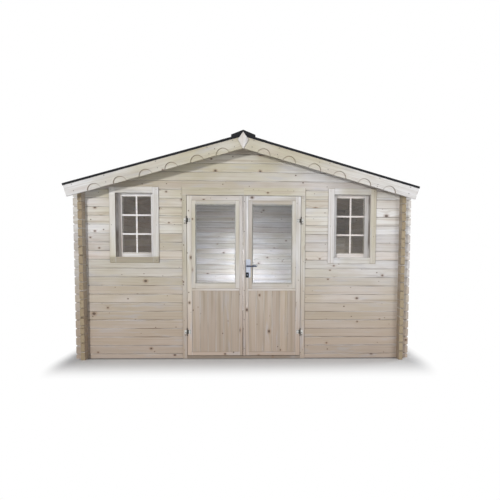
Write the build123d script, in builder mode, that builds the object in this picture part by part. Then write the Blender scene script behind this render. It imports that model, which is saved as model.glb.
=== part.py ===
from build123d import *
import math
import os

# Garden shed of interlocking logs. Millimetres, X across the front, Y from front to back, Z up.
# The origin is on the ground, under the middle of the roof.

# Log walls
log_cover = 100.0
half_log = 0.5
log_thickness = 44.0
joint_groove = 7.0
end_notch_depth = 13.0
end_notch_height = 11.0
inside_width = 3600.0
inside_depth = 2932.0
log_end = 92.0

# Roof
roof_pitch = 15.7
eaves_rise = 1.9
eaves_overhang = 2.0
roof_board_thickness = 19.0
felt_thickness = 4.0
gable_overhang = 200.0
felt_lip = 20.0
ridge_purlin_width = 70.0
ridge_purlin_depth = 75.0
side_purlin_width = 44.0
side_purlin_depth = 75.0
side_purlin_place = 900.0

# Ridge cap
cap_half_width = 131.0
cap_rise = 42.0
cap_wing_rise = 26.0
cap_flap_depth = 38.0
cap_flap_thickness = 4.0

# Bargeboards and finial
barge_width = 140.0
barge_backing = 16.0
barge_front = 12.0
scallop_count = 6
scallop_first = 271.0
scallop_pitch = 287.0
scallop_radius = 75.0
scallop_depth = 60.0
finial_half_width = 59.0
finial_above = 83.0
finial_below = 101.0
finial_drop = 62.0
finial_thickness = 20.0
finial_bevel = 4.0

# Casings
casing_thickness = 18.0
door_casing_width = 48.0
door_casing_head = 88.0
window_casing_width = 68.0
casing_bevel = 3.0

# Doorway
clearance = 5.0
leaf_half_width = 652.0
leaf_top = 1881.0
leaf_bottom = 37.0
leaf_thickness = 40.0
meeting_line = -12.0
meeting_gap = 7.5
jamb_thickness = 40.0
stop_width = 17.0
threshold_height = 30.0
least_head = 40.0

# Door leaf
hinge_stile = 53.0
meeting_stile = 37.0
lock_stile = 58.0
top_rail = 50.0
bottom_rail = 40.0
moulding_top = 820.0
moulding_height = 24.0
moulding_out = 12.0
moulding_lip = 4.0
glazing_frame_width = 45.0
glazing_frame_bottom = 60.0
glazing_frame_thickness = 30.0
glass_thickness = 4.0
glass_rebate = 8.0
edge_bevel = 3.0
panel_thickness = 18.0
panel_recess = 9.0
panel_boards = 6
panel_groove = 3.0
strip_width = 26.0
strip_thickness = 12.0
strip_rounding = 4.0

# Hinges
hinge_heights = (314.0, 1603.0)
pin_out = 9.5
knuckle_radius = 6.0
knuckle_height = 45.0
knuckle_gap = 0.3
knuckle_neck = 6.0
knuckle_neck_height = 26.0
hinge_plate_thickness = 3.0
hinge_plate_height = 44.0
leaf_plate_width = 42.0
frame_plate_width = 29.0
hinge_plate_corner = 4.0

# Handle and lock
handle_plate_left = 22.0
handle_plate_width = 54.0
handle_plate_top = 1158.0
handle_plate_height = 212.0
handle_plate_thickness = 4.0
handle_plate_corner = 9.0
lever_height = 1080.0
lever_reach = 46.0
lever_length = 108.0
lever_radius = 7.0
lever_depth = 16.0
lever_height_at_neck = 18.0
lever_height_at_tip = 12.0
lever_inset = 16.0
cylinder_height = 979.0
cylinder_radius = 8.5
cylinder_tail = 24.0
cylinder_width = 10.0
cylinder_out = 10.0

# Windows
window_from_corner = 552.0
window_clear_width = 420.0
window_clear_height = 727.0
window_head_depth = 42.0
window_frame_thickness = 31.0
sash_recess = 100.0
sash_thickness = 36.0
sash_stile = 44.0
sash_top_rail = 28.0
sash_bottom_rail = 45.0
bar_width = 20.0
bar_thickness = 12.0
pane_rows = 3
pane_columns = 2

# Floor
floor_thickness = 19.0
joist_height = 30.0
joist_width = 70.0
joist_count = 7
fit_gap = 0.3

# Places worked out from the sizes above
inner_x = inside_width / 2
outer_x = inner_x + log_thickness
log_end_x = outer_x + log_end
inner_y = inside_depth / 2
outer_y = inner_y + log_thickness
log_end_y = outer_y + log_end
lap_x = inner_x + log_thickness / 2
lap_y = inner_y + log_thickness / 2

roof_end_y = outer_y + gable_overhang
backing_y = roof_end_y + barge_backing
barge_y = backing_y + barge_front
lip_y = barge_y + felt_thickness
flap_y = lip_y + cap_flap_thickness
finial_y = barge_y + finial_thickness

head_logs = math.ceil((leaf_top + clearance + least_head) / log_cover - half_log)
split_height = log_cover * (head_logs + half_log)
window_top = split_height - window_head_depth
window_sill_height = window_top - window_clear_height
window_place = inner_x - window_from_corner

pitch = math.radians(roof_pitch)
slope = math.tan(pitch)
felt_rise = felt_thickness / math.cos(pitch)
board_rise = roof_board_thickness / math.cos(pitch)
under_ridge = split_height + eaves_rise + slope * log_end_x
boards_ridge = under_ridge + board_rise
ridge_height = boards_ridge + felt_rise
roof_half_width = log_end_x + eaves_overhang
slope_length = roof_half_width / math.cos(pitch)

casing_y = outer_y + casing_thickness
leaf_back_y = casing_y - leaf_thickness
stop_y = leaf_back_y - clearance
opening_half = leaf_half_width + clearance
hole_half = opening_half + jamb_thickness
opening_top = leaf_top + clearance
far = 3.0 * (inside_width + inside_depth)
half_cover = log_cover * half_log
sides = (("left", -1), ("right", 1))
ends = (("front", -1), ("back", 1))

os.makedirs("parts", exist_ok=True)


def under_roof(x):
    """Height of the underside of the roof boards at a distance from the ridge."""
    return under_ridge - slope * abs(x)


def on_slope(sign, along, up):
    """Point in XZ from a distance down the slope and a height square to the boards' top."""
    x = along * math.cos(pitch) + up * math.sin(pitch)
    z = boards_ridge - along * math.sin(pitch) + up * math.cos(pitch)
    return (sign * x, z)


def plumb(up):
    """Distance down the slope at which a plumb cut through the ridge meets a level line."""
    return -up * math.tan(pitch)


def joint_heights(bottom, top, first_joint):
    """Heights of the joints between the logs of a wall."""
    count = round((top - bottom) / log_cover) + 1
    heights = [first_joint + n * log_cover for n in range(count)]
    return [z for z in heights if bottom - fit_gap < z < top + fit_gap]


def log_section(outside, inside, bottom, top, first_joint, inner_grooves=False):
    """Outline of stacked logs, with a v-groove at each joint of the outer face."""
    joints = joint_heights(bottom, top, first_joint)
    inward = math.copysign(joint_groove, inside - outside)

    def face(edge, groove):
        line = []
        if not any(z < bottom + joint_groove for z in joints):
            line.append((edge, bottom))
        for z in joints:
            if z - joint_groove > bottom:
                line.append((edge, z - joint_groove))
            line.append((edge + groove, z))
            if z + joint_groove < top:
                line.append((edge, z + joint_groove))
        if not any(z > top - joint_groove for z in joints):
            line.append((edge, top))
        return line

    plain = [(inside, bottom), (inside, top)]
    inner = face(inside, -inward) if inner_grooves else plain
    return face(outside, inward) + inner[::-1]


def cut_laps(plane, places, first, top):
    """Notches for the logs that cross this wall, half a log high."""
    with BuildSketch(plane) as notches:
        for n in range(math.ceil(top / log_cover) + 1):
            with Locations(*[(place, first + n * log_cover) for place in places]):
                Rectangle(log_thickness, half_cover)
    extrude(notches.sketch, amount=far, both=True, mode=Mode.SUBTRACT)


def cut_end_notches(plane, log_ends, joints):
    """Bevels that meet at each joint in the sawn ends of the logs."""
    with BuildSketch(plane) as notches:
        for end in log_ends:
            bottom_of_notch = end - math.copysign(end_notch_depth, end)
            for z in joints:
                with BuildLine():
                    Polyline(
                        (end, z - end_notch_height),
                        (end, z + end_notch_height),
                        (bottom_of_notch, z),
                        close=True,
                    )
                make_face()
    extrude(notches.sketch, amount=far, both=True, mode=Mode.SUBTRACT)


def cut_to_roof():
    """Takes away all that stands above the underside of the roof boards."""
    with BuildSketch(Plane.XZ) as roof_space:
        with BuildLine():
            Polyline(
                (-far, under_roof(far)),
                (0, under_ridge),
                (far, under_roof(far)),
                (far, far),
                (-far, far),
                close=True,
            )
        make_face()
    extrude(roof_space.sketch, amount=far, both=True, mode=Mode.SUBTRACT)


def ridge_purlin_section():
    half = ridge_purlin_width / 2
    low = under_ridge - ridge_purlin_depth
    high = under_roof(half)
    return [(-half, low), (-half, high), (0, under_ridge), (half, high), (half, low)]


def side_purlin_section(sign):
    near = side_purlin_place - side_purlin_width / 2
    away = side_purlin_place + side_purlin_width / 2
    low = under_roof(side_purlin_place) - side_purlin_depth
    outline = [(near, low), (near, under_roof(near)), (away, under_roof(away)), (away, low)]
    return [(sign * x, z) for x, z in outline]


def cut_purlins():
    """Seats in a gable wall for the ridge purlin and the side purlins."""
    for outline in (ridge_purlin_section(), side_purlin_section(-1), side_purlin_section(1)):
        with BuildSketch(Plane.XZ) as seat:
            with BuildLine():
                Polyline(*outline, close=True)
            make_face()
        extrude(seat.sketch, amount=far, both=True, mode=Mode.SUBTRACT)


def box_between(x0, x1, y0, y1, z0, z1, mode=Mode.ADD):
    """Square block between two corners."""
    with Locations(((x0 + x1) / 2, (y0 + y1) / 2, (z0 + z1) / 2)):
        Box(x1 - x0, y1 - y0, z1 - z0, mode=mode)


# Side walls: a whole log at the bottom, the top log cut to the slope
for side, sign in sides:
    with BuildPart() as side_wall:
        wall_top = under_roof(inner_x)
        outline = log_section(sign * outer_x, sign * inner_x, 0, wall_top, log_cover)
        with BuildSketch(Plane.XZ):
            with BuildLine():
                Polyline(*outline, close=True)
            make_face()
        extrude(amount=log_end_y, both=True)
        cut_laps(Plane.YZ, (-lap_y, lap_y), 0, wall_top)
        joints = joint_heights(0, wall_top, log_cover)
        cut_end_notches(Plane.YZ, (-log_end_y, log_end_y), joints)
        cut_to_roof()
    side_wall.part.label = f"{side}_wall"
    export_step(side_wall.part, f"parts/{side}_wall.step")

# Front wall beside the doorway, with a window hole in each half, and the gable over both
window_low = window_sill_height - window_frame_thickness
window_hole_half = window_clear_width / 2 + window_frame_thickness
for side, sign in sides:
    with BuildPart() as front_wall:
        start, end = sorted((sign * hole_half, sign * log_end_x))
        outline = log_section(-outer_y, -inner_y, 0, split_height, half_cover)
        with BuildSketch(Plane.YZ.offset(start)):
            with BuildLine():
                Polyline(*outline, close=True)
            make_face()
        extrude(amount=end - start)
        cut_laps(Plane.XZ, (sign * lap_x,), half_cover, split_height)
        joints = joint_heights(0, split_height, half_cover)
        cut_end_notches(Plane.XZ, (sign * log_end_x,), joints)
        middle = sign * window_place
        box_between(middle - window_hole_half, middle + window_hole_half, -far, 0,
                    window_low, far, mode=Mode.SUBTRACT)
    front_wall.part.label = f"front_wall_{side}"
    export_step(front_wall.part, f"parts/front_wall_{side}.step")

with BuildPart() as front_gable:
    outline = log_section(-outer_y, -inner_y, split_height, under_ridge, split_height)
    with BuildSketch(Plane.YZ):
        with BuildLine():
            Polyline(*outline, close=True)
        make_face()
    extrude(amount=log_end_x, both=True)
    cut_laps(Plane.XZ, (-lap_x, lap_x), half_cover, under_ridge)
    cut_to_roof()
    cut_purlins()
front_gable.part.label = "front_gable"
export_step(front_gable.part, "parts/front_gable.step")

with BuildPart() as back_wall:
    outline = log_section(outer_y, inner_y, 0, under_ridge, half_cover, inner_grooves=True)
    with BuildSketch(Plane.YZ):
        with BuildLine():
            Polyline(*outline, close=True)
        make_face()
    extrude(amount=log_end_x, both=True)
    cut_laps(Plane.XZ, (-lap_x, lap_x), half_cover, under_ridge)
    joints = joint_heights(0, split_height, half_cover)
    cut_end_notches(Plane.XZ, (-log_end_x, log_end_x), joints)
    cut_to_roof()
    cut_purlins()
back_wall.part.label = "back_wall"
export_step(back_wall.part, "parts/back_wall.step")

# Purlins, from gable to gable
with BuildPart() as ridge_purlin:
    with BuildSketch(Plane.XZ):
        with BuildLine():
            Polyline(*ridge_purlin_section(), close=True)
        make_face()
    extrude(amount=roof_end_y, both=True)
ridge_purlin.part.label = "ridge_purlin"
export_step(ridge_purlin.part, "parts/ridge_purlin.step")

with BuildPart() as side_purlins:
    for side, sign in sides:
        with BuildSketch(Plane.XZ):
            with BuildLine():
                Polyline(*side_purlin_section(sign), close=True)
            make_face()
        extrude(amount=roof_end_y, both=True)
side_purlins.part.label = "side_purlins"
export_step(side_purlins.part, "parts/side_purlins.step")

# Roof boards and felt
for side, sign in sides:
    with BuildPart() as roof_boards:
        with BuildSketch(Plane.XZ):
            with BuildLine():
                Polyline(
                    on_slope(sign, 0, 0),
                    on_slope(sign, slope_length, 0),
                    on_slope(sign, slope_length, -roof_board_thickness),
                    on_slope(sign, plumb(-roof_board_thickness), -roof_board_thickness),
                    close=True,
                )
            make_face()
        extrude(amount=roof_end_y, both=True)
    roof_boards.part.label = f"roof_boards_{side}"
    export_step(roof_boards.part, f"parts/roof_boards_{side}.step")

felts = {}
for side, sign in sides:
    with BuildPart() as roof_felt:
        felt_edge = slope_length + felt_thickness
        with BuildSketch(Plane.XZ):
            with BuildLine():
                Polyline(
                    on_slope(sign, 0, 0),
                    on_slope(sign, plumb(felt_thickness), felt_thickness),
                    on_slope(sign, felt_edge, felt_thickness),
                    on_slope(sign, felt_edge, -roof_board_thickness),
                    on_slope(sign, slope_length, -roof_board_thickness),
                    on_slope(sign, slope_length, 0),
                    close=True,
                )
            make_face()
        extrude(amount=barge_y, both=True)
        for end, end_sign in ends:
            with BuildSketch(Plane.XZ.offset(-end_sign * (barge_y + lip_y) / 2)):
                with BuildLine():
                    Polyline(
                        on_slope(sign, plumb(felt_thickness), felt_thickness),
                        on_slope(sign, felt_edge, felt_thickness),
                        on_slope(sign, felt_edge, -felt_lip),
                        on_slope(sign, plumb(-felt_lip), -felt_lip),
                        close=True,
                    )
                make_face()
            extrude(amount=felt_thickness / 2, both=True)
    felts[side] = roof_felt.part
    roof_felt.part.label = f"roof_felt_{side}"
    export_step(roof_felt.part, f"parts/roof_felt_{side}.step")

# Ridge cap: a felted batten on each side of the ridge, folded down over the gable ends
wing_base = ridge_height - slope * cap_half_width
wing_top = wing_base + cap_wing_rise
cap_top = ridge_height + cap_rise
with BuildPart() as ridge_cap:
    with BuildSketch(Plane.XZ):
        with BuildLine():
            Polyline(
                (0, ridge_height),
                (cap_half_width, wing_base),
                (cap_half_width, wing_top),
                (0, cap_top),
                (-cap_half_width, wing_top),
                (-cap_half_width, wing_base),
                close=True,
            )
        make_face()
    extrude(amount=lip_y, both=True)
    for end, end_sign in ends:
        with BuildSketch(Plane.XZ.offset(-end_sign * (lip_y + flap_y) / 2)):
            with BuildLine():
                Polyline(
                    (0, cap_top - cap_flap_depth),
                    (cap_half_width, wing_top - cap_flap_depth),
                    (cap_half_width, wing_top),
                    (0, cap_top),
                    (-cap_half_width, wing_top),
                    (-cap_half_width, wing_top - cap_flap_depth),
                    close=True,
                )
            make_face()
        extrude(amount=cap_flap_thickness / 2, both=True)
ridge_cap.part.label = "ridge_cap"
export_step(ridge_cap.part, "parts/ridge_cap.step")

# Bargeboards: two layers, the front one with round scallops along its lower edge over the doors
scallop_up = scallop_depth - scallop_radius - barge_width
for end, end_sign in ends:
    for side, sign in sides:
        outline = [
            on_slope(sign, 0, 0),
            on_slope(sign, slope_length, 0),
            on_slope(sign, slope_length, -barge_width),
            on_slope(sign, plumb(-barge_width), -barge_width),
        ]
        scallop_places = [scallop_first + n * scallop_pitch for n in range(scallop_count)]
        scallops = [on_slope(sign, along, scallop_up) for along in scallop_places]
        with BuildPart() as bargeboard:
            with BuildSketch(Plane.XZ.offset(-end_sign * (roof_end_y + backing_y) / 2)):
                with BuildLine():
                    Polyline(*outline, close=True)
                make_face()
            extrude(amount=barge_backing / 2, both=True)
            with BuildSketch(Plane.XZ.offset(-end_sign * (backing_y + barge_y) / 2)):
                with BuildLine():
                    Polyline(*outline, close=True)
                make_face()
                if end == "front":
                    with Locations(*scallops):
                        Circle(scallop_radius, mode=Mode.SUBTRACT)
            extrude(amount=barge_front / 2, both=True)
        bargeboard.part.label = f"bargeboard_{end}_{side}"
        export_step(bargeboard.part, f"parts/bargeboard_{end}_{side}.step")

# Diamond finials over the joint of the bargeboards, rebated round the felt
finial_middle = ridge_height - finial_drop
with BuildPart() as finials:
    for end, end_sign in ends:
        with BuildSketch(Plane.XZ.offset(-end_sign * barge_y)):
            with BuildLine():
                Polyline(
                    (0, finial_middle + finial_above),
                    (finial_half_width, finial_middle),
                    (0, finial_middle - finial_below),
                    (-finial_half_width, finial_middle),
                    close=True,
                )
            make_face()
        extrude(amount=-end_sign * finial_thickness)
        face_y = end_sign * finial_y
        front_edges = finials.edges().filter_by_position(Axis.Y, face_y - fit_gap, face_y + fit_gap)
        chamfer(front_edges, finial_bevel)
    add(ridge_cap.part, mode=Mode.SUBTRACT)
    for side, sign in sides:
        add(felts[side], mode=Mode.SUBTRACT)
finials.part.label = "finials"
export_step(finials.part, "parts/finials.step")

# Door frame, with the stop that the leaves close against, and the threshold
with BuildPart() as door_frame:
    box_between(-hole_half, hole_half, -outer_y, -inner_y, 0, split_height)
    box_between(-opening_half, opening_half, -outer_y, -stop_y, 0, opening_top, mode=Mode.SUBTRACT)
    box_between(stop_width - opening_half, opening_half - stop_width, -stop_y, -inner_y,
                0, opening_top - stop_width, mode=Mode.SUBTRACT)
door_frame.part.label = "door_frame"
export_step(door_frame.part, "parts/door_frame.step")

with BuildPart() as door_threshold:
    box_between(-opening_half, opening_half, -casing_y, -stop_y, 0, threshold_height)
    box_between(stop_width - opening_half, opening_half - stop_width, -stop_y, -inner_y,
                0, threshold_height)
    sill_edge = door_threshold.edges().filter_by(Axis.X).group_by(Axis.Z)[-1].sort_by(Axis.Y)[0]
    chamfer(sill_edge, casing_bevel)
door_threshold.part.label = "door_threshold"
export_step(door_threshold.part, "parts/door_threshold.step")

# Door casing outside and inside
casing_head_top = opening_top + door_casing_head
floor_top = joist_height + floor_thickness
with BuildPart() as door_casing:
    outside = (-outer_y, -casing_thickness, 0)
    inside = (-inner_y, casing_thickness, floor_top)
    for face_y, depth, foot in (outside, inside):
        low, high = sorted((face_y, face_y + depth))
        half = opening_half + door_casing_width
        box_between(-half, half, low, high, foot, casing_head_top)
        box_between(-opening_half, opening_half, low, high, foot, opening_top, mode=Mode.SUBTRACT)
    front_edges = door_casing.faces().sort_by(Axis.Y)[0].edges().filter_by(Axis.Z)
    outer_edges = front_edges.group_by(Axis.X)[0] + front_edges.group_by(Axis.X)[-1]
    chamfer(outer_edges, casing_bevel)
door_casing.part.label = "door_casing"
export_step(door_casing.part, "parts/door_casing.step")

# Window frames, casings, sashes and glass
sash_front_y = casing_y - sash_recess
sash_back_y = sash_front_y - sash_thickness
glass_front_y = sash_front_y - (sash_thickness - glass_thickness) / 2
for side, sign in sides:
    middle = sign * window_place
    clear_low = middle - window_clear_width / 2
    clear_high = middle + window_clear_width / 2
    with BuildPart() as window_frame:
        box_between(middle - window_hole_half, middle + window_hole_half, -outer_y, -sash_back_y,
                    window_low, split_height)
        box_between(clear_low, clear_high, -outer_y, -sash_back_y,
                    window_sill_height, window_top, mode=Mode.SUBTRACT)
    window_frame.part.label = f"window_frame_{side}"
    export_step(window_frame.part, f"parts/window_frame_{side}.step")

    with BuildPart() as window_casing:
        box_between(clear_low - window_casing_width, clear_high + window_casing_width,
                    -casing_y, -outer_y,
                    window_sill_height - window_casing_width, window_top + window_casing_width)
        box_between(clear_low, clear_high, -casing_y, -outer_y,
                    window_sill_height, window_top, mode=Mode.SUBTRACT)
        chamfer(window_casing.faces().sort_by(Axis.Y)[0].outer_wire().edges(), casing_bevel)
    window_casing.part.label = f"window_casing_{side}"
    export_step(window_casing.part, f"parts/window_casing_{side}.step")

    pane_low = clear_low + sash_stile
    pane_high = clear_high - sash_stile
    pane_bottom = window_sill_height + sash_bottom_rail
    pane_top = window_top - sash_top_rail
    glass_box = (pane_low - glass_rebate, pane_high + glass_rebate,
                 -glass_front_y, -glass_front_y + glass_thickness,
                 pane_bottom - glass_rebate, pane_top + glass_rebate)
    with BuildPart() as window_sash:
        box_between(clear_low, clear_high, -sash_front_y, -sash_back_y,
                    window_sill_height, window_top)
        box_between(pane_low, pane_high, -sash_front_y, -sash_back_y,
                    pane_bottom, pane_top, mode=Mode.SUBTRACT)
        bar_front_y = glass_front_y + bar_thickness
        for n in range(1, pane_columns):
            x = pane_low + (pane_high - pane_low) * n / pane_columns
            box_between(x - bar_width / 2, x + bar_width / 2, -bar_front_y, -glass_front_y,
                        pane_bottom, pane_top)
        for n in range(1, pane_rows):
            z = pane_bottom + (pane_top - pane_bottom) * n / pane_rows
            box_between(pane_low, pane_high, -bar_front_y, -glass_front_y,
                        z - bar_width / 2, z + bar_width / 2)
        box_between(*glass_box, mode=Mode.SUBTRACT)
    window_sash.part.label = f"window_sash_{side}"
    export_step(window_sash.part, f"parts/window_sash_{side}.step")

    with BuildPart() as window_glass:
        box_between(*glass_box)
    window_glass.part.label = f"window_glass_{side}"
    export_step(window_glass.part, f"parts/window_glass_{side}.step")

# Floor boards on joists
with BuildPart() as floor_joists:
    spacing = (inside_width - joist_width) / (joist_count - 1)
    with Locations((0, 0, joist_height / 2)):
        with GridLocations(spacing, 1, joist_count, 1):
            Box(joist_width - 2 * fit_gap, inside_depth - 2 * fit_gap, joist_height)
floor_joists.part.label = "floor_joists"
export_step(floor_joists.part, "parts/floor_joists.step")

with BuildPart() as floor_boards:
    box_between(-inner_x + fit_gap, inner_x - fit_gap, -inner_y + fit_gap, inner_y - fit_gap,
                joist_height, floor_top)
floor_boards.part.label = "floor_boards"
export_step(floor_boards.part, "parts/floor_boards.step")

# Door leaves
glazing_bottom = moulding_top
glazing_top = leaf_top - top_rail
panel_top = moulding_top - moulding_height
panel_bottom = leaf_bottom + bottom_rail
leaf_edges = {
    "left": (-leaf_half_width, meeting_line - meeting_gap / 2),
    "right": (meeting_line + meeting_gap / 2, leaf_half_width),
}
stiles = {"left": (hinge_stile, meeting_stile), "right": (lock_stile, hinge_stile)}
for side, sign in sides:
    leaf_low, leaf_high = leaf_edges[side]
    field_low = leaf_low + stiles[side][0]
    field_high = leaf_high - stiles[side][1]
    with BuildPart() as leaf_frame:
        box_between(leaf_low, leaf_high, -casing_y, -leaf_back_y, leaf_bottom, leaf_top)
        box_between(field_low, field_high, -casing_y, -leaf_back_y,
                    panel_bottom, panel_top, mode=Mode.SUBTRACT)
        box_between(field_low, field_high, -casing_y, -leaf_back_y,
                    glazing_bottom, glazing_top, mode=Mode.SUBTRACT)
        with BuildSketch(Plane.YZ.offset(field_low)):
            with BuildLine():
                nose_y = -casing_y - moulding_out
                round_top = (-casing_y - moulding_lip, moulding_top)
                round_foot = (nose_y, panel_top + moulding_lip)
                Polyline(round_foot, (nose_y, panel_top), (-casing_y, panel_top),
                         (-casing_y, moulding_top), round_top)
                RadiusArc(round_top, round_foot, -moulding_height)
            make_face()
        extrude(amount=field_high - field_low)
    leaf_frame.part.label = f"{side}_door_frame"
    export_step(leaf_frame.part, f"parts/{side}_door_frame.step")

    glass_low = field_low + glazing_frame_width
    glass_high = field_high - glazing_frame_width
    glass_bottom = glazing_bottom + glazing_frame_bottom
    glass_top = glazing_top - glazing_frame_width
    glass_y = casing_y - (glazing_frame_thickness - glass_thickness) / 2
    glass_box = (glass_low - glass_rebate, glass_high + glass_rebate,
                 -glass_y, -glass_y + glass_thickness,
                 glass_bottom - glass_rebate, glass_top + glass_rebate)
    with BuildPart() as glazing_frame:
        back_y = casing_y - glazing_frame_thickness
        box_between(field_low, field_high, -casing_y, -back_y, glazing_bottom, glazing_top)
        box_between(glass_low, glass_high, -casing_y, -back_y,
                    glass_bottom, glass_top, mode=Mode.SUBTRACT)
        front_face = glazing_frame.faces().sort_by(Axis.Y)[0]
        chamfer(front_face.edges(), edge_bevel)
        box_between(*glass_box, mode=Mode.SUBTRACT)
    glazing_frame.part.label = f"{side}_door_glazing_frame"
    export_step(glazing_frame.part, f"parts/{side}_door_glazing_frame.step")

    with BuildPart() as leaf_glass:
        box_between(*glass_box)
    leaf_glass.part.label = f"{side}_door_glass"
    export_step(leaf_glass.part, f"parts/{side}_door_glass.step")

    with BuildPart() as leaf_panel:
        panel_front_y = casing_y - panel_recess
        panel_back_y = panel_front_y - panel_thickness
        box_between(field_low, field_high, -panel_front_y, -panel_back_y,
                    panel_bottom, panel_top)
        board = (field_high - field_low) / panel_boards
        for n in range(1, panel_boards):
            x = field_low + n * board
            for face_y, inward in ((-panel_front_y, 1), (-panel_back_y, -1)):
                with BuildSketch(Plane.XY.offset(panel_bottom)):
                    with BuildLine():
                        Polyline(
                            (x - panel_groove, face_y),
                            (x + panel_groove, face_y),
                            (x, face_y + inward * panel_groove),
                            close=True,
                        )
                    make_face()
                extrude(amount=panel_top - panel_bottom, mode=Mode.SUBTRACT)
    leaf_panel.part.label = f"{side}_door_panel"
    export_step(leaf_panel.part, f"parts/{side}_door_panel.step")

# Meeting strip on the right leaf
strip_low = leaf_edges["right"][0]
with BuildPart() as meeting_strip:
    box_between(strip_low, strip_low + strip_width, -casing_y - strip_thickness, -casing_y,
                leaf_bottom, leaf_top)
    front_edges = meeting_strip.faces().sort_by(Axis.Y)[0].edges().filter_by(Axis.Z)
    fillet(front_edges, strip_rounding)
meeting_strip.part.label = "meeting_strip"
export_step(meeting_strip.part, "parts/meeting_strip.step")

# Lift-off hinges: the frame's half has the lower knuckle, the leaf's half the upper one
pin_y = casing_y + pin_out
pin_x = leaf_half_width + clearance / 2
frame_edge = opening_half + fit_gap
leaf_edge = leaf_half_width - fit_gap


def hinge_half(sign, z, upward, near, width):
    """Plate on the face of the timber, and the knuckle that it carries on a short neck."""
    away = near + width
    with BuildSketch(Plane.XZ.offset(casing_y)) as plate:
        with Locations((sign * (near + away) / 2, z)):
            Rectangle(abs(width), hinge_plate_height)
        chamfer(plate.vertices(), hinge_plate_corner)
    extrude(plate.sketch, amount=hinge_plate_thickness)
    middle = z + upward * (knuckle_height + knuckle_gap) / 2
    with Locations((sign * pin_x, -pin_y, middle)):
        Cylinder(knuckle_radius, knuckle_height)
    neck_low, neck_high = sorted((sign * pin_x, sign * (near + math.copysign(knuckle_neck, width))))
    box_between(neck_low, neck_high, -pin_y, -casing_y,
                *sorted((z + upward * knuckle_gap / 2, z + upward * knuckle_neck_height)))


with BuildPart() as door_hinges:
    for side, sign in sides:
        for z in hinge_heights:
            hinge_half(sign, z, -1, frame_edge, frame_plate_width)
door_hinges.part.label = "door_hinges"
export_step(door_hinges.part, "parts/door_hinges.step")

for side, sign in sides:
    with BuildPart() as leaf_hinges:
        for z in hinge_heights:
            hinge_half(sign, z, 1, leaf_edge, -leaf_plate_width)
    leaf_hinges.part.label = f"{side}_door_hinges"
    export_step(leaf_hinges.part, f"parts/{side}_door_hinges.step")

# Lever handles on long plates outside and inside, and the lock cylinder
plate_middle = handle_plate_left + handle_plate_width / 2
plate_centre = handle_plate_top - handle_plate_height / 2
lever_x = handle_plate_left + lever_inset
lever_end = lever_x + lever_length
with BuildPart() as door_handle:
    for face_y, out in ((-casing_y, -1), (-leaf_back_y, 1)):
        with BuildSketch(Plane.XZ.offset(-face_y)) as plate:
            with Locations((plate_middle, plate_centre)):
                Rectangle(handle_plate_width, handle_plate_height)
            chamfer(plate.vertices(), handle_plate_corner)
        extrude(plate.sketch, amount=-out * handle_plate_thickness)
        with BuildSketch(Plane.XZ.offset(-face_y)) as neck:
            with Locations((lever_x, lever_height)):
                Circle(lever_radius)
        extrude(neck.sketch, amount=-out * (lever_reach - lever_depth / 2))
        lever_y = face_y + out * (lever_reach - lever_depth / 2)
        with BuildSketch(Plane.XZ.offset(-lever_y)) as lever:
            with BuildLine():
                top_of_neck = (lever_x, lever_height + lever_height_at_neck / 2)
                foot_of_neck = (lever_x, lever_height - lever_height_at_neck / 2)
                foot_of_tip = (lever_end, lever_height - lever_height_at_tip / 2)
                top_of_tip = (lever_end, lever_height + lever_height_at_tip / 2)
                Line(foot_of_neck, foot_of_tip)
                RadiusArc(foot_of_tip, top_of_tip, -lever_height_at_tip / 2)
                Line(top_of_tip, top_of_neck)
                RadiusArc(top_of_neck, foot_of_neck, -lever_height_at_neck / 2)
            make_face()
        extrude(lever.sketch, amount=-out * lever_depth)
door_handle.part.label = "door_handle"
export_step(door_handle.part, "parts/door_handle.step")

with BuildPart() as lock_cylinder:
    with BuildSketch(Plane.XZ.offset(casing_y + handle_plate_thickness)):
        with Locations((lever_x, cylinder_height)):
            Circle(cylinder_radius)
        with Locations((lever_x, cylinder_height - cylinder_tail / 2)):
            Rectangle(cylinder_width, cylinder_tail)
    extrude(amount=cylinder_out)
lock_cylinder.part.label = "lock_cylinder"
export_step(lock_cylinder.part, "parts/lock_cylinder.step")
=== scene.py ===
import math

import bpy
from mathutils import Matrix, Vector


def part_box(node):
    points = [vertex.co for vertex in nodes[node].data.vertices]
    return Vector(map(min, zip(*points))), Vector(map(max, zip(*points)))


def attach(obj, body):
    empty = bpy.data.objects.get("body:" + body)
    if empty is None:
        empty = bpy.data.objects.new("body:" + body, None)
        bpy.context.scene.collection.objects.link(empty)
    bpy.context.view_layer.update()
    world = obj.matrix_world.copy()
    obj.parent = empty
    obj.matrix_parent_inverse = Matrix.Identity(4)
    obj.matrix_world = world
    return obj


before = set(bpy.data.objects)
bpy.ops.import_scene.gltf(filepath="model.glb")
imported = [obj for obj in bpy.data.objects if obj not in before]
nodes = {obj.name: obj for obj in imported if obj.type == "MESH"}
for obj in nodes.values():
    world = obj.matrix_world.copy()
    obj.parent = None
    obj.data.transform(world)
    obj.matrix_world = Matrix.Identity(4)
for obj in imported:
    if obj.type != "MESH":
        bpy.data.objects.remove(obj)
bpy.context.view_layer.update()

# The two sides of the shed, with the sign of their x
SIDES = (("left", -1), ("right", 1))

# Sizes of the shed that its finishes follow, in metres
LOG_COVER = 0.100
FRONT_JOINT, SIDE_JOINT = LOG_COVER / 2, 0.0
PAST_CORNER = 1.5105
BOARD_COVER = 0.096
FLOOR_START = -1.466
ROOF_PITCH = math.radians(15.7)

# Scallops of the front bargeboards, measured down the slope and square to it
BARGE_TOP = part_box("bargeboard_front_left")[1].z
BARGE_BACK = -1.70
SCALLOP_FIRST, SCALLOP_PITCH, SCALLOP_COUNT = 0.271, 0.287, 6.0
SCALLOP_RADIUS, SCALLOP_UP = 0.075, -0.155

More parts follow.
